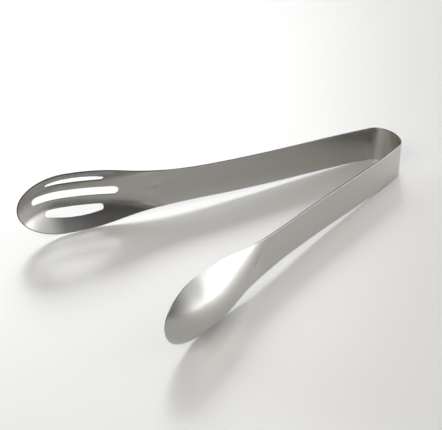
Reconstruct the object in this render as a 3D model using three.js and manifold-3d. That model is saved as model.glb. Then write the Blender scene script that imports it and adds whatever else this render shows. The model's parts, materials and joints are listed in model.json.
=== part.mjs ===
// Spring tongs for the kitchen, formed from one strip of stainless steel sheet: a U-shaped bow,
// two arms, and two bowl-shaped blades that face each other, one of them slotted.
// Lengths are in millimetres and angles in degrees. The bow points along +X, the slotted arm lies
// on +Y, the plain arm on -Y, and Z is up. The tongs rest on a table, on the bow and both blades.
import * as THREE from 'three';
import { mergeVertices } from 'three/addons/utils/BufferGeometryUtils.js';
import Module from 'manifold-3d';

// Driving dimensions of the strip
const strip_width = 20;
const strip_thickness = 1;

// Half of the bow, from its middle: a shallow back and then a tighter corner
const bow_back_radius = 17;
const bow_back_turn = 27;
const bow_corner_radius = 8.1;
const bow_corner_turn = 47;

// Each arm, from the bow on: a shoulder that leans in, a flat grip and a sweep that leans out
const shoulder_length = 30;
const shoulder_turn = 3.9;
const grip_length = 28;
const sweep_length = 53;
const sweep_turn = 3.9;

// Half way along each side the strip lies a little below a straight line from the bow to the tip.
// The start radius keeps its edge free of a kink at the bow's middle.
const edge_dip = 2;
const dip_start_radius = 4;

// Each blade, measured from its tip back towards the bow
const blade_run_length = 95;
const blade_height = 36.4;
const tip_round_length = 27;
const neck_length = 84;
const neck_wide_handle = 34;
const neck_narrow_handle = 54;

// The bowl pressed into each blade: its back starts at a crease across the neck
const bowl_depth = 10.2;
const bowl_roundness = 2.1;
const crease_middle_from_tip = 77;
const crease_rim_from_tip = 84;

// A long slot with parallel edges along the middle of one blade
const middle_slot_width = 4.9;
const middle_slot_near_tip = 9.5;
const middle_slot_far_end = 57.8;

// A shorter slot on each side of it, with a straight edge towards the middle and a bowed outer one
const side_slot_near_tip = 17;
const side_slot_far_end = 49.5;
const side_slot_inner_edge = 7.3;
const side_slot_end_radius = 1.6;
const side_slot_bow = 1.7;

// Clearance between neighbouring lengths of the strip
const section_gap = 0.3;

// How finely curves are cut into flats
const bend_step = 6;
const slow_bend_step = 1.2;
const blade_columns = 18;
const tip_rows = 10;
const bowl_rows = 12;
const neck_rows = 5;
const slot_arc_segments = 5;
const cut_overrun = 2;
const normal_probe = 0.01;
const merge_distance = 0.0001;
const halving_rounds = 40;
const settling_rounds = 10;

// Satin stainless steel
const steel_color = 0xb7b5b0;
const steel_metalness = 1;
const steel_roughness = 0.32;

const wasm = await Module();
wasm.setup();

const radians = THREE.MathUtils.degToRad;
const up = new THREE.Vector3(0, 0, 1);

// The middle line of one side in plan, as a chain of arcs and straights from the bow's middle
const runs = [
  { length: bow_back_radius * radians(bow_back_turn), turn: radians(bow_back_turn), step: bend_step },
  { length: bow_corner_radius * radians(bow_corner_turn), turn: radians(bow_corner_turn), step: bend_step },
  { length: shoulder_length, turn: radians(shoulder_turn), step: slow_bend_step },
  { length: grip_length, turn: 0, step: slow_bend_step },
  { length: sweep_length, turn: -radians(sweep_turn), step: slow_bend_step },
  { length: blade_run_length, turn: 0, step: slow_bend_step },
];
const strip_half_length = runs.reduce((sum, run) => sum + run.length, 0);
const bow_half_length = runs[0].length + runs[1].length;
const blade_length = tip_round_length + neck_length;

// Place and heading of the middle line at a distance from the bow's middle, on the +Y side
function stationAt(along) {
  const station = { x: 0, y: 0, heading: 0 };
  let left = along;
  for (const run of runs) {
    const last = run === runs[runs.length - 1];
    const step = last ? left : Math.min(left, run.length);
    const turn = run.turn * step / run.length;
    const chord = run.turn === 0 ? step : 2 * run.length / run.turn * Math.sin(turn / 2);
    station.x -= chord * Math.sin(station.heading + turn / 2);
    station.y += chord * Math.cos(station.heading + turn / 2);
    station.heading += turn;
    left -= step;
    if (left <= 0) break;
  }
  return station;
}

// The blade's edge between its widest place and the strip, as distance from the tip and half height
const neck_edge = new THREE.CubicBezierCurve(
  new THREE.Vector2(tip_round_length, blade_height / 2),
  new THREE.Vector2(tip_round_length + neck_wide_handle, blade_height / 2),
  new THREE.Vector2(blade_length - neck_narrow_handle, strip_width / 2),
  new THREE.Vector2(blade_length, strip_width / 2),
);

// How far the strip lies below that straight line, at a distance from the bow's middle
function dipAt(along) {
  const share = (Math.hypot(along, dip_start_radius) - dip_start_radius) / strip_half_length;
  return 4 * edge_dip * share * (1 - share);
}

// Half height of the strip or blade at a distance from the tip
function halfHeightAt(fromTip) {
  if (fromTip >= blade_length) return strip_width / 2;
  if (fromTip < tip_round_length) {
    const reach = 1 - fromTip / tip_round_length;
    return blade_height / 2 * Math.sqrt(Math.max(0, 1 - reach * reach));
  }
  let low = 0;
  let high = 1;
  for (let round = 0; round < halving_rounds; round += 1) {
    const middle = (low + high) / 2;
    if (neck_edge.getPoint(middle).x < fromTip) low = middle;
    else high = middle;
  }
  return neck_edge.getPoint(low).y;
}

// Distance of the crease from the tip, at a share of the half height away from the middle
function creaseAt(share) {
  return crease_middle_from_tip + (crease_rim_from_tip - crease_middle_from_tip) * share;
}

// How far the bowl bulges outwards from the plane of the blade's rim
function bulgeAt(fromTip, across) {
  if (fromTip < tip_round_length) {
    const reach = Math.max(0, 1 - fromTip / tip_round_length);
    const round = Math.hypot(reach, across / (blade_height / 2));
    return bowl_depth * (1 - round ** bowl_roundness);
  }
  const share = Math.abs(across) / halfHeightAt(fromTip);
  const back = Math.min(1, (fromTip - tip_round_length) / (creaseAt(share) - tip_round_length));
  return bowl_depth * Math.cos(back * Math.PI / 2) * (1 - share ** bowl_roundness);
}

// A point of the sheet's middle surface on the +Y side, at a distance from the tip and a height
function middlePoint(fromTip, across) {
  const along = strip_half_length - fromTip;
  const station = stationAt(along);
  const bulge = bulgeAt(fromTip, across);
  return new THREE.Vector3(
    station.x + bulge * Math.cos(station.heading),
    station.y + bulge * Math.sin(station.heading),
    across - dipAt(along),
  );
}

// The two faces of the sheet at one place, half a thickness to each side of the middle surface
function facePair(fromTip, across) {
  const point = middlePoint(fromTip, across);
  const ahead = middlePoint(fromTip - normal_probe, across);
  const behind = middlePoint(fromTip + normal_probe, across);
  const above = middlePoint(fromTip, across + normal_probe);
  const below = middlePoint(fromTip, across - normal_probe);
  const outward = ahead.sub(behind).cross(above.sub(below)).setLength(strip_thickness / 2);
  return { outer: point.clone().add(outward), inner: point.clone().sub(outward) };
}

// A closed sheet from rows of face pairs. Each row runs from the lower edge to the upper edge.
function sheetGeometry(rows) {
  const columns = rows[0].length;
  const positions = [];
  const triangles = [];
  for (const row of rows) {
    for (const pair of row) positions.push(...pair.outer.toArray(), ...pair.inner.toArray());
  }
  const index = (row, column, inner) => 2 * (row * columns + column) + (inner ? 1 : 0);
  const quad = (a, b, c, d) => triangles.push(a, b, c, a, c, d);
  for (let row = 0; row + 1 < rows.length; row += 1) {
    for (let column = 0; column + 1 < columns; column += 1) {
      quad(index(row, column, false), index(row + 1, column, false),
        index(row + 1, column + 1, false), index(row, column + 1, false));
      quad(index(row, column, true), index(row, column + 1, true),
        index(row + 1, column + 1, true), index(row + 1, column, true));
    }
    const top = columns - 1;
    quad(index(row, 0, true), index(row + 1, 0, true),
      index(row + 1, 0, false), index(row, 0, false));
    quad(index(row, top, false), index(row + 1, top, false),
      index(row + 1, top, true), index(row, top, true));
  }
  const end = rows.length - 1;
  for (let column = 0; column + 1 < columns; column += 1) {
    quad(index(0, column, true), index(0, column, false),
      index(0, column + 1, false), index(0, column + 1, true));
    quad(index(end, column, false), index(end, column, true),
      index(end, column + 1, true), index(end, column + 1, false));
  }
  const loose = new THREE.BufferGeometry();
  loose.setAttribute('position', new THREE.Float32BufferAttribute(positions, 3));
  loose.setIndex(triangles);
  return weld(loose);
}

// Merge points that coincide, such as those of a pointed end, and drop triangles without an area
function weld(geometry) {
  const bare = new THREE.BufferGeometry();
  bare.setAttribute('position', geometry.getAttribute('position'));
  bare.setIndex(geometry.getIndex());
  const merged = mergeVertices(bare, merge_distance);
  const kept = [];
  const index = merged.getIndex().array;
  for (let first = 0; first < index.length; first += 3) {
    const [a, b, c] = index.slice(first, first + 3);
    if (a !== b && b !== c && c !== a) kept.push(a, b, c);
  }
  merged.setIndex(kept);
  return merged;
}

// Distances from the bow's middle at which a length of strip gets a row
function stationsBetween(start, end) {
  const stations = [start];
  let runStart = 0;
  for (const run of runs) {
    const from = Math.max(start, runStart);
    const to = Math.min(end, runStart + run.length);
    if (to > from) {
      const turn = Math.abs(run.turn) * (to - from) / run.length;
      const steps = Math.max(1, Math.ceil(turn / radians(run.step)));
      for (let step = 1; step <= steps; step += 1) stations.push(from + (to - from) * step / steps);
    }
    runStart += run.length;
  }
  return stations;
}

// One plain row of the strip, across its full width
function stripRow(along) {
  const fromTip = strip_half_length - along;
  return [-1, 1].map((edge) => facePair(fromTip, edge * strip_width / 2));
}

// The same row on the -Y side, with its edges kept in order
function mirroredRow(row) {
  const flip = (point) => new THREE.Vector3(point.x, -point.y, point.z);
  return row.map((pair) => ({ outer: flip(pair.outer), inner: flip(pair.inner) }));
}

// The bow, from the end of one corner to the end of the other
function bowGeometry() {
  const half = stationsBetween(0, bow_half_length - section_gap / 2).map(stripRow);
  const otherHalf = half.slice(1).map(mirroredRow).reverse();
  return sheetGeometry([...otherHalf, ...half]);
}

// One arm, from the bow to the blade
function armGeometry() {
  const start = bow_half_length + section_gap / 2;
  const end = strip_half_length - blade_length - section_gap / 2;
  return sheetGeometry(stationsBetween(start, end).map(stripRow));
}

// One row of a blade, where fromTipAt gives the row's distance from the tip at each share
function bladeRow(fromTipAt) {
  const row = [];
  for (let column = 0; column <= blade_columns; column += 1) {
    const share = 2 * column / blade_columns - 1;
    const fromTip = fromTipAt(Math.abs(share));
    row.push(facePair(fromTip, share * halfHeightAt(fromTip)));
  }
  return row;
}

// One blade without slots: rows of the neck, of the bowl's back as far as the crease, and of the tip
function bladeGeometry() {
  const start = blade_length - section_gap / 2;
  const rows = [];
  for (let row = 0; row < neck_rows; row += 1) {
    rows.push(bladeRow((share) => start + (creaseAt(share) - start) * row / neck_rows));
  }
  for (let row = 0; row < bowl_rows; row += 1) {
    const back = 1 - row / bowl_rows;
    rows.push(bladeRow((share) => tip_round_length + (creaseAt(share) - tip_round_length) * back));
  }
  for (let row = 0; row <= tip_rows; row += 1) {
    const angle = Math.PI / 2 * (1 - row / tip_rows);
    rows.push(bladeRow(() => tip_round_length * (1 - Math.cos(angle))));
  }
  return sheetGeometry(rows);
}

// The middle slot's outline, with the tip towards the right and heights upwards
function middleSlotShape() {
  const radius = middle_slot_width / 2;
  const shape = new THREE.Shape();
  shape.absarc(-middle_slot_near_tip - radius, 0, radius, -Math.PI / 2, Math.PI / 2, false);
  shape.absarc(-middle_slot_far_end + radius, 0, radius, Math.PI / 2, Math.PI * 3 / 2, false);
  return shape;
}

// A side slot's outline: a round end, the bowed outer edge and the other round end. The straight
// inner edge closes it. Side is 1 for the upper slot and -1 for the lower one.
function sideSlotShape(side) {
  const half = (side_slot_far_end - side_slot_near_tip) / 2 - side_slot_end_radius;
  const drop = (half * half - side_slot_bow * side_slot_bow) / (2 * side_slot_bow);
  const bow_radius = Math.hypot(half, drop) + side_slot_end_radius;
  const corner = Math.atan2(drop, half);
  const middle = -(side_slot_near_tip + side_slot_far_end) / 2;
  const height = side_slot_inner_edge + side_slot_end_radius;
  const shape = new THREE.Shape();
  const arc = (x, y, radius, start, end) => {
    shape.absarc(x, side * y, radius, side * start, side * end, side < 0);
  };
  arc(middle + half, height, side_slot_end_radius, -Math.PI / 2, corner);
  arc(middle, height - drop, bow_radius, corner, Math.PI - corner);
  arc(middle - half, height, side_slot_end_radius, Math.PI - corner, Math.PI * 3 / 2);
  return shape;
}

// A cutter for one slot, which follows the strip's dip and runs straight through the bowl
function slotCutter(outline) {
  const cutter = new THREE.ExtrudeGeometry(outline, {
    depth: bowl_depth + strip_thickness + 2 * cut_overrun,
    bevelEnabled: false,
    curveSegments: slot_arc_segments,
  });
  cutter.translate(0, 0, -cut_overrun);
  const place = cutter.getAttribute('position');
  for (let vertex = 0; vertex < place.count; vertex += 1) {
    const along = strip_half_length + place.getX(vertex);
    place.setY(vertex, place.getY(vertex) - dipAt(along));
  }
  const tip = stationAt(strip_half_length);
  const forward = new THREE.Vector3(-Math.sin(tip.heading), Math.cos(tip.heading), 0);
  const outward = new THREE.Vector3().crossVectors(forward, up);
  const placed = new THREE.Matrix4().makeBasis(forward, up, outward).setPosition(tip.x, tip.y, 0);
  return cutter.applyMatrix4(placed);
}

// A three.js geometry as a solid that can be cut
function toSolid(geometry) {
  const welded = weld(geometry);
  return new wasm.Manifold(new wasm.Mesh({
    numProp: 3,
    vertProperties: new Float32Array(welded.getAttribute('position').array),
    triVerts: new Uint32Array(welded.getIndex().array),
  }));
}

// A cut solid as a three.js geometry again
function toGeometry(solid) {
  const mesh = solid.getMesh();
  const geometry = new THREE.BufferGeometry();
  geometry.setAttribute('position', new THREE.BufferAttribute(mesh.vertProperties, mesh.numProp));
  geometry.setIndex(new THREE.BufferAttribute(mesh.triVerts, 1));
  return geometry;
}

// One blade with its three slots
function slottedBladeGeometry() {
  const slots = [middleSlotShape(), sideSlotShape(1), sideSlotShape(-1)].map(slotCutter);
  const whole = toSolid(bladeGeometry());
  return toGeometry(slots.map(toSolid).reduce((blade, slot) => blade.subtract(slot), whole));
}

// A geometry of the +Y side turned into its mirror image on the -Y side
function mirrored(geometry) {
  const other = geometry.clone().scale(1, -1, 1);
  const index = other.getIndex().array;
  for (let first = 0; first < index.length; first += 3) {
    [index[first], index[first + 1]] = [index[first + 1], index[first]];
  }
  return other;
}

// The steel as a fresh material for each piece
function satinSteel() {
  return new THREE.MeshStandardMaterial({
    color: steel_color,
    metalness: steel_metalness,
    roughness: steel_roughness,
  });
}

// A named mesh with a material of its own
function piece(name, geometry) {
  geometry.computeVertexNormals();
  const mesh = new THREE.Mesh(geometry, satinSteel());
  mesh.name = name;
  return mesh;
}

// How far the tongs tip towards the bow when they rest on a table. The line they rest on touches
// them from below at one place near the bow and at one on the blades.
function restingTilt(pieces) {
  const points = [];
  for (const mesh of pieces) {
    const place = mesh.geometry.getAttribute('position');
    for (let vertex = 0; vertex < place.count; vertex += 1) {
      points.push({ x: place.getX(vertex), z: place.getZ(vertex) });
    }
  }
  const middle = -strip_half_length / 2;
  const lowest = (side, slope) => side.reduce((best, point) => (
    point.z - slope * point.x < best.z - slope * best.x ? point : best));
  const bowSide = points.filter((point) => point.x > middle);
  const bladeSide = points.filter((point) => point.x <= middle);
  let slope = 0;
  for (let round = 0; round < settling_rounds; round += 1) {
    const heel = lowest(bowSide, slope);
    const blade = lowest(bladeSide, slope);
    slope = (heel.z - blade.z) / (heel.x - blade.x);
  }
  return Math.atan(slope);
}

const pieces = [
  piece('spring_bow', bowGeometry()),
  piece('slotted_arm', armGeometry()),
  piece('slotted_blade', slottedBladeGeometry()),
  piece('plain_arm', mirrored(armGeometry())),
  piece('plain_blade', mirrored(bladeGeometry())),
];

// The tongs at rest, with the origin on the table, halfway between the arms and along the length
const tongs = new THREE.Group();
tongs.add(...pieces);
tongs.rotation.y = restingTilt(pieces);
const box = new THREE.Box3().setFromObject(tongs, true);
const middle = box.getCenter(new THREE.Vector3());
tongs.position.set(-middle.x, 0, -box.min.z);

const model = new THREE.Group();
model.add(tongs);
export default model;
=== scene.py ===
"""Kitchen tweezers of satin stainless steel, resting open on a pale floor.

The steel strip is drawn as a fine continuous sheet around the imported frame: one half on the
slotted side and one on the plain side. The halves meet at the middle of the bow.
"""
import json
import math

import bpy
import numpy as np
from mathutils import Matrix, Vector
from mathutils.geometry import delaunay_2d_cdt


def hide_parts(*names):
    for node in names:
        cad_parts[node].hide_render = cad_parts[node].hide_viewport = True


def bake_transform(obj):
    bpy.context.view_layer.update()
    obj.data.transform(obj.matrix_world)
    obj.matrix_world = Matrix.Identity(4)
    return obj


mm = 0.001

# The strip, as in the solids
strip_width = 20 * mm
strip_thickness = 1 * mm

bow_back_radius = 17 * mm
bow_back_turn = math.radians(27)
bow_corner_radius = 8.1 * mm
bow_corner_turn = math.radians(47)
shoulder_length = 30 * mm
shoulder_turn = math.radians(3.9)
grip_length = 28 * mm
sweep_length = 53 * mm
sweep_turn = math.radians(3.9)
blade_run_length = 95 * mm
edge_dip = 2 * mm
dip_start_radius = 4 * mm

# Each blade, measured from its tip
blade_height = 36.4 * mm
tip_round_length = 27 * mm
neck_length = 84 * mm

# How far the curve of the neck's edge keeps its direction at the wide end and at the narrow one
neck_wide_handle = 34 * mm
neck_narrow_handle = 54 * mm

# The bowl runs out at a crease, which lies further from the tip at the rim than in the middle
bowl_depth = 10.2 * mm
bowl_roundness = 2.1
crease_middle_from_tip = 77 * mm
crease_rim_from_tip = 84 * mm
crease_softness = 0.5 * mm

# The drain slots, also measured from the tip, and their inner edge from the blade's middle
middle_slot_width = 4.9 * mm
middle_slot_near_tip = 9.5 * mm
middle_slot_far_end = 57.8 * mm
side_slot_near_tip = 17 * mm
side_slot_far_end = 49.5 * mm
side_slot_inner_edge = 7.3 * mm
side_slot_end_radius = 1.6 * mm
side_slot_bow = 1.7 * mm

# How finely the sheet is divided. Points inside it keep clear of its edges by a share of a step.
bow_step = 0.5 * mm
strip_step = 1.4 * mm
blade_step = 0.9 * mm
outline_step = 0.7 * mm
clear_share = 0.6
curve_samples = 400

# For Blender's triangulation, whose points are in mm: what it keeps, and how close merged points are
inside_the_loops = 1
merge_distance = 1e-5

# The edges, which are square in the solids: their rounding, the steps in it, and the rows of faces
# on each side of the edge's flat row that get the edge's painted dark colour, as that row does
edge_radius = 0.2 * mm
edge_segments = 3
dark_edge_rows = 1

# The faces lie a little inside the solids' faces, so that the scene stays in their box
face_inset = 0.04 * mm
face_lift = strip_thickness / 2 - face_inset

# A small distance, over which slopes are measured
probe = 0.01 * mm

# Satin steel. The flat sheet's map has uv_scale units to a metre, and the sizes of the grain and
# the clouds are in cells to a unit.
uv_scale = 10.0
steel_dark = (0.54, 0.53, 0.51, 1)
steel_light = (0.60, 0.59, 0.57, 1)
steel_roughness_low = 0.22
steel_roughness_high = 0.29
grain_along = 60.0
grain_across = 900.0
grain_strength = 0.15
grain_depth = 0.02 * mm
grain_detail = 3
grain_roughness = 0.6
cloud_scale = 18.0
cloud_detail = 2

# The cut edge is duller than the faces; its near-black colour is painted shade, drawing the rims as dark
# lines
edge_shade_dark = (0.05, 0.05, 0.05, 1)
edge_shade_light = (0.10, 0.10, 0.095, 1)
edge_roughness = 0.45
edge_grain = 300.0
edge_grain_detail = 2

floor_size = 3.0
floor_colour = (0.85, 0.845, 0.83, 1)
floor_roughness = 0.3
floor_specular = 1.0

# The room's light, as pairs of place and strength: from the side away from the white wall to the
# wall's side, and from the horizon upwards
wall_azimuth = math.radians(0)
wall_around = [
    (0.3, 0.01), (0.5, 0.04), (0.63, 0.19), (0.75, 0.46), (0.86, 0.44), (0.94, 0.9), (1.0, 0.7),
]
wall_above = [
    (0.0, 1.5), (0.12, 1.25), (0.2, 1.0), (0.34, 0.72), (0.5, 0.58), (0.77, 0.5), (1.0, 0.47),
]
room_strength = 3.4

# Soft lamps: name, azimuth and elevation in degrees, width, height, power and colour
lamp_distance = 2.2
lamps = [
    ("window", 62, 32, 1.1, 0.65, 10.2, (0.97, 0.98, 1)),
    ("low_window", 110, 12, 1.5, 0.3, 25, (0.84, 0.9, 1)),
    ("fill", -160, 45, 1.6, 1.0, 19, (1, 0.96, 0.88)),
]
# A lamp that isn't mirrored, because it would whiten half the floor in a level view
unmirrored_lamps = ("low_window",)

# The camera, as matched to the photograph
camera_azimuth = math.radians(-37.877)
camera_elevation = math.radians(34.114)
camera_roll = math.radians(-0.615)
camera_distance = 959.8 * mm
camera_target = Vector((-16.2 * mm, 3.34 * mm, 14.0 * mm))
camera_lens = 148.95
camera_sensor = 36.0

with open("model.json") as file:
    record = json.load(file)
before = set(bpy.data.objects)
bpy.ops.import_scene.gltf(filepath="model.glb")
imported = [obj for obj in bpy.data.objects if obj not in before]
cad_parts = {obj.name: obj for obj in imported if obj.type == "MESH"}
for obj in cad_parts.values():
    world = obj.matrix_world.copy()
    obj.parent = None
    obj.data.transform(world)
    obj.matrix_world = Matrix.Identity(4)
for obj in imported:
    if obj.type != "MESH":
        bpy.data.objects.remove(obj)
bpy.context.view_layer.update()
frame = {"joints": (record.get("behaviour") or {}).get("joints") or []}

# The strip's middle line from the bow's middle, as lengths and the angle each one turns through
runs = [
    (bow_back_radius * bow_back_turn, bow_back_turn),
    (bow_corner_radius * bow_corner_turn, bow_corner_turn),
    (shoulder_length, shoulder_turn),
    (grip_length, 0.0),
    (sweep_length, -sweep_turn),
    (blade_run_length, 0.0),
]
strip_half_length = sum(length for length, _ in runs)
bow_half_length = runs[0][0] + runs[1][0]
blade_length = tip_round_length + neck_length


def stations(along):
    """Place and heading of the strip's middle line at distances from the bow's middle.

    The line sets out towards +Y, and a turn bends it towards -X.
    """
    along = np.asarray(along, float)
    x = np.zeros_like(along)
    y = np.zeros_like(along)
    heading = np.zeros_like(along)
    start = 0.0
    for number, (length, turn) in enumerate(runs):
        step = np.maximum(along - start, 0.0)
        if number < len(runs) - 1:
            step = np.minimum(step, length)
        part = turn * step / length
        chord = step if turn == 0 else 2 * length / turn * np.sin(part / 2)
        x -= chord * np.sin(heading + part / 2)
        y += chord * np.cos(heading + part / 2)
        heading += part
        start += length
    return x, y, heading


def neck_edge():
    """Points of the blade's edge between its widest place and the strip, on a cubic curve."""
    t = np.linspace(0, 1, curve_samples)
    ends = (tip_round_length, tip_round_length + neck_wide_handle)
    ends += (blade_length - neck_narrow_handle, blade_length)
    heights = (blade_height / 2, blade_height / 2, strip_width / 2, strip_width / 2)
    weights = ((1 - t) ** 3, 3 * t * (1 - t) ** 2, 3 * t**2 * (1 - t), t**3)
    from_tip = sum(weight * end for weight, end in zip(weights, ends))
    height = sum(weight * end for weight, end in zip(weights, heights))
    return from_tip, height


neck_from_tip, neck_height = neck_edge()


def half_height(from_tip):
    """Half the height of the strip or blade at distances from the tip."""
    reach = np.clip(1 - from_tip / tip_round_length, 0, 1)
    rounded = blade_height / 2 * np.sqrt(1 - reach**2)
    return np.where(
        from_tip < tip_round_length, rounded, np.interp(from_tip, neck_from_tip, neck_height)
    )


def bulge(from_tip, across):
    """How far the bowl stands out from the plane of the blade's rim."""
    reach = np.maximum(0, 1 - from_tip / tip_round_length)
    tip = 1 - np.hypot(reach, across / (blade_height / 2)) ** bowl_roundness

    share = np.abs(across) / np.maximum(half_height(from_tip), probe)
    crease = crease_middle_from_tip + (crease_rim_from_tip - crease_middle_from_tip) * share
    reach = (from_tip - tip_round_length) / (crease - tip_round_length)
    soft = crease_softness / (crease - tip_round_length)
    back = (1 + reach - np.sqrt((1 - reach) ** 2 + soft**2)) / 2
    body = np.cos(np.clip(back, 0, 1) * math.pi / 2) * (1 - share**bowl_roundness)
    return bowl_depth * np.where(from_tip < tip_round_length, tip, body)


def dip(along):
    """How far the strip lies below a straight line from the bow to the tip."""
    share = (np.hypot(along, dip_start_radius) - dip_start_radius) / strip_half_length
    return 4 * edge_dip * share * (1 - share)


def middle_surface(along, across):
    """Points of the sheet's middle surface on the +Y side, in the tongs' own axes."""
    x, y, heading = stations(along)
    out = bulge(strip_half_length - along, across)
    height = across - dip(along)
    return np.stack([x + out * np.cos(heading), y + out * np.sin(heading), height], axis=-1)


def unit(vectors):
    """The same directions with a length of 1."""
    return vectors / np.linalg.norm(vectors, axis=-1, keepdims=True)


def surface_frame(along, across):
    """Points, outward normals and the two slopes of the middle surface."""
    point = middle_surface(along, across)
    lengthwise = middle_surface(along + probe, across) - middle_surface(along - probe, across)
    upward = middle_surface(along, across + probe) - middle_surface(along, across - probe)
    return point, unit(np.cross(lengthwise, upward)), lengthwise / (2 * probe), upward / (2 * probe)


def to_sheet(from_tip, across):
    """Coordinates on the flat sheet: distance from the bow's middle, and height."""
    return np.stack([strip_half_length - from_tip, across], axis=-1)


def outline_chain():
    """The sheet's edge, from the bow's middle along the lower side, round the tip and back."""
    side_length = strip_half_length - tip_round_length
    along = np.linspace(0, side_length, round(side_length / outline_step))
    from_tip = strip_half_length - along
    lower = to_sheet(from_tip, -half_height(from_tip))
    quarter = math.pi / 2
    turn = np.linspace(-quarter, quarter, round((blade_height + tip_round_length) / outline_step))
    tip = to_sheet(tip_round_length * (1 - np.cos(turn)), blade_height / 2 * np.sin(turn))
    upper = lower[::-1] * np.array([1, -1])
    return np.concatenate([lower, tip[1:-1], upper])


def arc(middle, height, radius, start, end):
    """Points of an arc in distances from the tip and heights, without its last point."""
    count = max(2, round(abs(end - start) * radius / outline_step))
    turn = np.linspace(start, end, count, endpoint=False)
    return to_sheet(middle + radius * np.cos(turn), height + radius * np.sin(turn))


def straight(start, end, height):
    """Points of a lengthwise edge at one height, without its last point."""
    count = round(abs(end - start) / outline_step)
    from_tip = np.linspace(start, end, count, endpoint=False)
    return to_sheet(from_tip, np.full(count, height))


def middle_slot_chain():
    """The middle slot's edge, with the sheet on its left-hand side."""
    radius = middle_slot_width / 2
    near, far = middle_slot_near_tip + radius, middle_slot_far_end - radius
    quarter = math.pi / 2
    return np.concatenate([
        straight(far, near, radius),
        arc(near, 0, radius, quarter, 3 * quarter),
        straight(near, far, -radius),
        arc(far, 0, radius, -quarter, quarter),
    ])


def side_slot_chain(side):
    """A side slot's edge: straight towards the middle and bowed outwards, above for side 1."""
    radius = side_slot_end_radius
    half = (side_slot_far_end - side_slot_near_tip) / 2 - radius
    drop = (half**2 - side_slot_bow**2) / (2 * side_slot_bow)
    corner = math.atan2(drop, half)
    middle = (side_slot_near_tip + side_slot_far_end) / 2
    height = side_slot_inner_edge + radius
    chain = np.concatenate([
        arc(middle, height - drop, math.hypot(half, drop) + radius, corner, math.pi - corner),
        arc(middle - half, height, radius, math.pi - corner, 3 * math.pi / 2),
        straight(middle - half, middle + half, side_slot_inner_edge),
        arc(middle + half, height, radius, -math.pi / 2, corner),
    ])
    return chain if side > 0 else (chain * np.array([1, -1]))[::-1]


def tangents(chain, closed):
    """Unit directions along a chain of points on the flat sheet."""
    before, after = np.roll(chain, 1, axis=0), np.roll(chain, -1, axis=0)
    if not closed:
        before[0], after[-1] = chain[0], chain[-1]
    direction = unit(after - before)
    if not closed:
        # The open chain leaves the bow's middle squarely and comes back to it squarely
        direction[0], direction[-1] = (1, 0), (-1, 0)
    return direction


def edge_ring(chain, closed):
    """Where the sheet's faces end along an edge, and the direction that the edge faces there."""
    along = tangents(chain, closed)
    outward = np.stack([along[:, 1], -along[:, 0]], axis=-1)
    _, normal, lengthwise, upward = surface_frame(chain[:, 0], chain[:, 1])
    travel = lengthwise * along[:, :1] + upward * along[:, 1:]
    facing = unit(np.cross(travel, normal))
    stretch = np.sum((lengthwise * outward[:, :1] + upward * outward[:, 1:]) * facing, axis=-1)
    inset = chain - outward * (edge_radius / stretch)[:, None]
    return inset, facing


def slot_clearance(points, chain):
    """How far points lie outside a slot, whose edge turns one way all round."""
    along = tangents(chain, True)
    away = np.stack([-along[:, 1], along[:, 0]], axis=-1)
    return np.max(points @ away.T - np.sum(chain * away, axis=-1), axis=-1)


def in_sheet(points, margin, slots):
    """Which points of the flat sheet lie inside its edges by a margin."""
    from_tip, across = strip_half_length - points[:, 0], points[:, 1]
    inside = np.abs(across) < half_height(from_tip) - margin
    tip = from_tip < tip_round_length
    reach = (tip_round_length - from_tip) / (tip_round_length - margin)
    rounded = np.hypot(reach, across / (blade_height / 2 - margin)) < 1
    inside = np.where(tip, rounded, inside) & (points[:, 0] > margin)
    for chain in slots:
        inside &= slot_clearance(points, chain) > margin
    return inside


def grid_points(slots):
    """Points inside the flat sheet, on rows that are closer together where it bends."""
    blade_start = strip_half_length - blade_length
    zones = [
        (0, bow_half_length + strip_step, bow_step, strip_step),
        (bow_half_length + strip_step, blade_start, strip_step, strip_step),
        (blade_start, strip_half_length, blade_step, blade_step),
    ]
    found = []
    for start, end, step, across_step in zones:
        rows = np.linspace(start, end, round((end - start) / step), endpoint=False)
        count = round(blade_height / across_step)
        columns = np.linspace(-blade_height / 2, blade_height / 2, count + 1)
        points = np.stack(np.meshgrid(rows, columns, indexing="ij"), axis=-1).reshape(-1, 2)
        margin = edge_radius + clear_share * across_step
        found.append(points[in_sheet(points, margin, slots)])
    return np.concatenate(found)


def flat_layout(slots):
    """Points of the flat sheet, its edge rings, their vertex numbers and those of its straight end."""
    chains = [(outline_chain(), False)] + [(chain, True) for chain in slots]
    rings = [edge_ring(chain, closed) + (closed,) for chain, closed in chains]
    flat = [inset for inset, _, _ in rings]
    loops = []
    total = 0
    for inset in flat:
        loops.append(list(range(total, total + len(inset))))
        total += len(inset)
    outline = flat[0]
    heights = np.linspace(outline[-1, 1], outline[0, 1], round(strip_width / strip_step))[1:-1]
    end = list(range(total, total + len(heights)))
    flat.append(np.stack([np.zeros(len(heights)), heights], axis=-1))
    flat.append(grid_points(slots))
    return np.concatenate(flat), rings, loops, end


def flat_triangles(points, outer, holes):
    """Triangles between points of the flat sheet, inside the outer loop and outside the holes."""
    edges = []
    for loop in [outer] + holes:
        edges += list(zip(loop, loop[1:] + loop[:1]))
    flat = [Vector(point / mm) for point in points]
    made = delaunay_2d_cdt(flat, edges, [], inside_the_loops, merge_distance)
    place, faces, origin = made[0], made[2], made[3]
    assert len(place) == len(flat), "the triangulation added or merged a point"
    source = [old[0] for old in origin]
    found = [[source[corner] for corner in face] for face in faces]
    filled = [set(hole) for hole in holes]
    return [face for face in found if not any(hole.issuperset(face) for hole in filled)]


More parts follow.
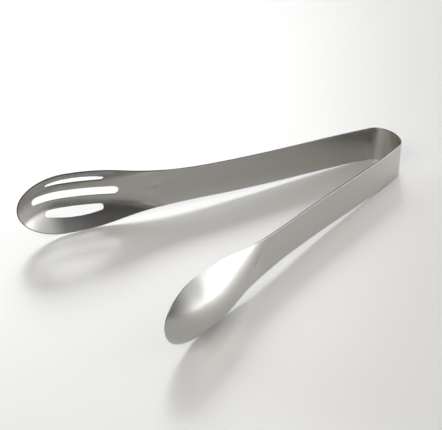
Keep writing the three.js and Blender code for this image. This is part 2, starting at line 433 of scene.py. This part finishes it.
def rounded_edge(facing, point, normal):
    """Points and normals round one edge, row by row from the outer face to the inner one."""
    steps = np.linspace(0, math.pi / 2, edge_segments + 1)
    profile = [(math.pi / 2 - step, 1) for step in steps[1:]] + [(-step, -1) for step in steps[:-1]]
    places, normals = [], []
    for angle, side in profile:
        lift = side * (face_lift - edge_radius) + edge_radius * math.sin(angle)
        reach = edge_radius * math.cos(angle)
        places.append(point + facing * reach + normal * lift)
        normals.append(facing * math.cos(angle) + normal * math.sin(angle))
    return places, normals


def edge_faces(table):
    """Faces between an edge's rows of vertices, each with whether it gets the edge's painted dark
    colour.
    """
    flat_row = edge_segments
    found = []
    for row, (upper, lower) in enumerate(zip(table, table[1:])):
        # The flat row and its neighbours get the edge's painted dark colour, which is painted shade
        is_dark_edge = abs(row - flat_row) <= dark_edge_rows
        for step in range(len(upper) - 1):
            face = [upper[step], lower[step], lower[step + 1], upper[step + 1]]
            found.append((face, is_dark_edge))
    return found


def end_face(table, end, count):
    """The flat face that closes the sheet at the bow's middle."""
    first = [row[0] for row in table]
    last = [row[-1] for row in table]
    return end[::-1] + last + [corner + count for corner in end] + first[::-1]


def half_sheet(slots):
    """Points, normals, flat coordinates and faces of one half, and which faces get the edge's painted
    dark colour.
    """
    flat, rings, loops, end = flat_layout(slots)
    triangles = flat_triangles(flat, loops[0] + end, loops[1:])
    point, normal, _, _ = surface_frame(flat[:, 0], flat[:, 1])
    count = len(flat)
    places = [point + normal * face_lift, point - normal * face_lift]
    normals = [normal, -normal]
    sheets = [flat, flat]
    faces = triangles + [[corner + count for corner in reversed(face)] for face in triangles]
    is_dark_edge = [False] * len(faces)

    tables = []
    total = 2 * count
    for (inset, facing, closed), loop in zip(rings, loops):
        rows, row_normals = rounded_edge(facing, point[loop], normal[loop])
        places += rows
        normals += row_normals
        sheets += [inset] * len(rows)
        table = [loop]
        for _ in rows:
            table.append(list(range(total, total + len(loop))))
            total += len(loop)
        table.append([corner + count for corner in loop])
        if closed:
            table = [row + row[:1] for row in table]
        tables.append(table)
        for face, cut in edge_faces(table):
            faces.append(face)
            is_dark_edge.append(cut)
    faces.append(end_face(tables[0], end, count))
    is_dark_edge.append(False)
    return np.concatenate(places), np.concatenate(normals), np.concatenate(sheets), faces, is_dark_edge


def tongs_axes():
    """The tongs' own axes in the row frame, from the slotted side's hinge."""
    joint = next(joint for joint in frame["joints"] if joint["child"] == "slotted_side")
    up = Vector(joint["axis"]).normalized()
    side = Vector((0, 1, 0))
    forward = side.cross(up).normalized()
    x, y, _ = stations(bow_half_length)
    origin = Vector(joint["pos_m"]) - forward * float(x) - side * float(y)
    return np.array([forward, side, up]), np.array(origin)


def make_half(name, side, slots, materials):
    """One half of the tongs as a mesh, with the materials of its faces and of its cut edge, painted
    dark.

    The side is 1 on the slotted side and -1 on the plain one.
    """
    places, normals, flat, faces, is_dark_edge = half_sheet(slots)
    mirror = np.array([1, side, 1])
    axes, origin = tongs_axes()
    places = (places * mirror) @ axes + origin
    normals = (normals * mirror) @ axes
    if side < 0:
        faces = [face[::-1] for face in faces]
    mesh = bpy.data.meshes.new(name)
    mesh.from_pydata(places.tolist(), [], faces)
    mesh.polygons.foreach_set("use_smooth", [True] * len(mesh.polygons))
    for material in materials:
        mesh.materials.append(material)
    mesh.polygons.foreach_set("material_index", [int(cut) for cut in is_dark_edge])
    layer = mesh.uv_layers.new(name="along_strip")
    corners = np.zeros(len(mesh.loops), np.int32)
    mesh.loops.foreach_get("vertex_index", corners)
    layer.data.foreach_set("uv", (flat[corners] * uv_scale).ravel())
    mesh.normals_split_custom_set_from_vertices(unit(normals).tolist())
    piece = bpy.data.objects.new(name, mesh)
    bpy.context.scene.collection.objects.link(piece)
    return piece


def new_material(name):
    """A material and its shader."""
    material = bpy.data.materials.new(name)
    material.use_nodes = True
    return material, material.node_tree.nodes["Principled BSDF"]


def add_node(tree, kind, **settings):
    """A new node, with its settings as attributes or as inputs of the same name."""
    node = tree.nodes.new(kind)
    for key, value in settings.items():
        if hasattr(node, key):
            setattr(node, key, value)
        else:
            node.inputs[key].default_value = value
    return node


def steel_material():
    """Satin stainless steel, with a very fine grain along the strip."""
    material, shader = new_material("satin_steel")
    tree = material.node_tree
    link = tree.links.new
    shader.inputs["Metallic"].default_value = 1
    flat = add_node(tree, "ShaderNodeUVMap", uv_map="along_strip")
    stretch = add_node(tree, "ShaderNodeMapping", Scale=(grain_along, grain_across, 1))
    link(flat.outputs["UV"], stretch.inputs["Vector"])
    grain = add_node(tree, "ShaderNodeTexNoise", Scale=1, Detail=grain_detail, Roughness=grain_roughness)
    link(stretch.outputs["Vector"], grain.inputs["Vector"])
    clouds = add_node(tree, "ShaderNodeTexNoise", Scale=cloud_scale, Detail=cloud_detail)
    link(flat.outputs["UV"], clouds.inputs["Vector"])

    colour = add_node(tree, "ShaderNodeMix", data_type="RGBA")
    colour.inputs["A"].default_value = steel_dark
    colour.inputs["B"].default_value = steel_light
    link(grain.outputs["Fac"], colour.inputs["Factor"])
    link(colour.outputs["Result"], shader.inputs["Base Color"])

    rough = add_node(tree, "ShaderNodeMapRange")
    rough.inputs["To Min"].default_value = steel_roughness_low
    rough.inputs["To Max"].default_value = steel_roughness_high
    link(clouds.outputs["Fac"], rough.inputs["Value"])
    link(rough.outputs["Result"], shader.inputs["Roughness"])

    bump = add_node(tree, "ShaderNodeBump", Strength=grain_strength, Distance=grain_depth)
    link(grain.outputs["Fac"], bump.inputs["Height"])
    link(bump.outputs["Normal"], shader.inputs["Normal"])
    return material


def dark_edge_material():
    """The strip's cut edge, dull and finely mottled, in a near-black colour that is painted shade for
    dark rim lines.
    """
    material, shader = new_material("cut_edge_painted_dark")
    tree = material.node_tree
    link = tree.links.new
    shader.inputs["Metallic"].default_value = 1
    shader.inputs["Roughness"].default_value = edge_roughness
    flat = add_node(tree, "ShaderNodeUVMap", uv_map="along_strip")
    grain = add_node(tree, "ShaderNodeTexNoise", Scale=edge_grain, Detail=edge_grain_detail)
    link(flat.outputs["UV"], grain.inputs["Vector"])
    # Near-black colours: painted shade that draws the rims as dark lines
    colour = add_node(tree, "ShaderNodeMix", data_type="RGBA")
    colour.inputs["A"].default_value = edge_shade_dark
    colour.inputs["B"].default_value = edge_shade_light
    link(grain.outputs["Fac"], colour.inputs["Factor"])
    link(colour.outputs["Result"], shader.inputs["Base Color"])
    return material


def floor_material():
    """A pale, slightly glossy table top."""
    material, shader = new_material("pale_floor")
    shader.inputs["Base Color"].default_value = floor_colour
    shader.inputs["Roughness"].default_value = floor_roughness
    shader.inputs["Specular IOR Level"].default_value = floor_specular
    return material


def make_floor():
    """The table top that the tweezers rest on."""
    bpy.ops.mesh.primitive_plane_add(size=floor_size)
    floor = bpy.context.object
    floor.name = "floor"
    floor.data.materials.append(floor_material())


def make_camera():
    """The camera, which looks at its target from its azimuth and elevation, slightly rolled."""
    turn, lift = camera_azimuth, camera_elevation
    back = Vector((math.sin(turn) * math.cos(lift), -math.cos(turn) * math.cos(lift), math.sin(lift)))
    right = Vector((math.cos(turn), math.sin(turn), 0))
    up = back.cross(right)
    rolled_right = right * math.cos(camera_roll) + up * math.sin(camera_roll)
    rolled_up = up * math.cos(camera_roll) - right * math.sin(camera_roll)
    data = bpy.data.cameras.new("camera")
    data.lens = camera_lens
    data.sensor_width = camera_sensor
    camera = bpy.data.objects.new("camera", data)
    bpy.context.scene.collection.objects.link(camera)
    axes = Matrix((rolled_right, rolled_up, back)).transposed().to_4x4()
    camera.matrix_world = Matrix.Translation(camera_target + back * camera_distance) @ axes
    bpy.context.scene.camera = camera


def ramp(tree, stops):
    """A colour ramp through pairs of position and grey level."""
    node = tree.nodes.new("ShaderNodeValToRGB")
    elements = node.color_ramp.elements
    while len(elements) < len(stops):
        elements.new(1)
    for element, (position, level) in zip(elements, stops):
        element.position = position
        element.color = (level, level, level, 1)
    return node


def make_world():
    """A room with a white wall on one side and darkness on the other."""
    world = bpy.data.worlds.new("studio")
    world.use_nodes = True
    tree = world.node_tree
    link = tree.links.new
    way = add_node(tree, "ShaderNodeTexCoord")

    # From -1, away from the wall, to 1, towards it
    facing = add_node(tree, "ShaderNodeVectorMath", operation="DOT_PRODUCT")
    facing.inputs[1].default_value = (math.cos(wall_azimuth), math.sin(wall_azimuth), 0)
    link(way.outputs["Generated"], facing.inputs[0])
    share = add_node(tree, "ShaderNodeMapRange")
    share.inputs["From Min"].default_value = -1
    link(facing.outputs["Value"], share.inputs["Value"])
    around = ramp(tree, wall_around)
    link(share.outputs["Result"], around.inputs["Fac"])

    # From 0, at the horizon, to 1, overhead
    split = add_node(tree, "ShaderNodeSeparateXYZ")
    link(way.outputs["Generated"], split.inputs["Vector"])
    above = ramp(tree, wall_above)
    link(split.outputs["Z"], above.inputs["Fac"])

    light = add_node(tree, "ShaderNodeVectorMath", operation="MULTIPLY")
    link(around.outputs["Color"], light.inputs[0])
    link(above.outputs["Color"], light.inputs[1])
    background = tree.nodes["Background"]
    link(light.outputs["Vector"], background.inputs["Color"])
    background.inputs["Strength"].default_value = room_strength
    bpy.context.scene.world = world


def make_lamp(name, azimuth, elevation, width, height, power, colour):
    """A soft rectangular lamp that faces the tweezers."""
    data = bpy.data.lights.new(name, "AREA")
    data.shape = "RECTANGLE"
    data.energy = power
    data.color = colour
    data.size = width
    data.size_y = height
    turn, lift = math.radians(azimuth), math.radians(elevation)
    away = Vector((math.cos(turn) * math.cos(lift), math.sin(turn) * math.cos(lift), math.sin(lift)))
    lamp = bpy.data.objects.new(name, data)
    facing = away.to_track_quat("Z", "Y").to_matrix().to_4x4()
    lamp.matrix_world = Matrix.Translation(away * lamp_distance) @ facing
    lamp.visible_glossy = name not in unmirrored_lamps
    bpy.context.scene.collection.objects.link(lamp)


make_camera()
steel = (steel_material(), dark_edge_material())
drain_slots = [middle_slot_chain(), side_slot_chain(1), side_slot_chain(-1)]
slotted = make_half("slotted_half", 1, drain_slots, steel)
plain = make_half("plain_half", -1, [], steel)
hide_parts("spring_bow", "slotted_arm", "slotted_blade")
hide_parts("spring_bow", "plain_arm", "plain_blade")
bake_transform(slotted)
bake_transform(plain)
make_floor()
make_world()
for lamp in lamps:
    make_lamp(*lamp)
bpy.context.scene.view_settings.view_transform = "Standard"
